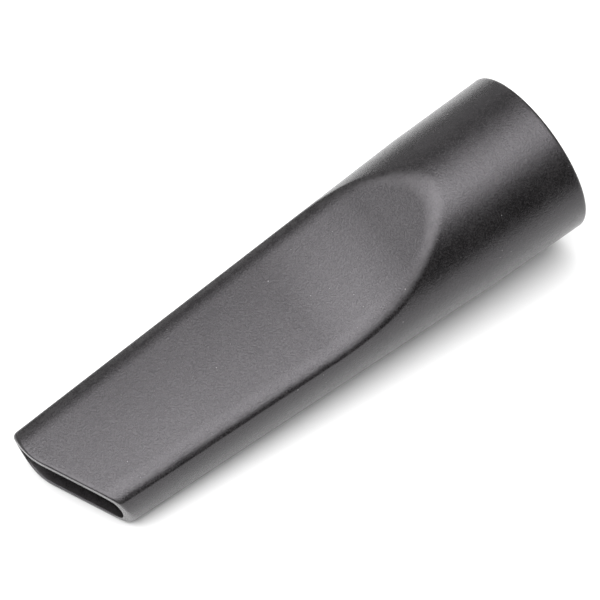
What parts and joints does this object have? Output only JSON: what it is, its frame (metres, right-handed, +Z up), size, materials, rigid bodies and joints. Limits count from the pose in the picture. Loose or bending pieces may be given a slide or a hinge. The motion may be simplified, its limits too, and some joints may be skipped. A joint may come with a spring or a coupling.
{
  "type": "vacuum crevice nozzle",
  "caption": "One-piece crevice nozzle for a small vacuum: round hose socket, cone scooped flat above and below, slot mouth cut on a slant.",
  "frame": {"origin": "on the surface the nozzle lies on, under the middle of its box", "axes": "+X from the mouth towards the hose socket, +Z up with a scooped flat face uppermost; lying at rest, the socket's axis rises 7 degrees towards +X"},
  "size_m": [0.1294, 0.039, 0.0415],
  "materials": {
    "moulded_plastic": "dark grey, fine spark-eroded texture"
  },
  "bodies": {
    "root": {"nozzle_body": "moulded_plastic"}
  },
  "joints": []
}
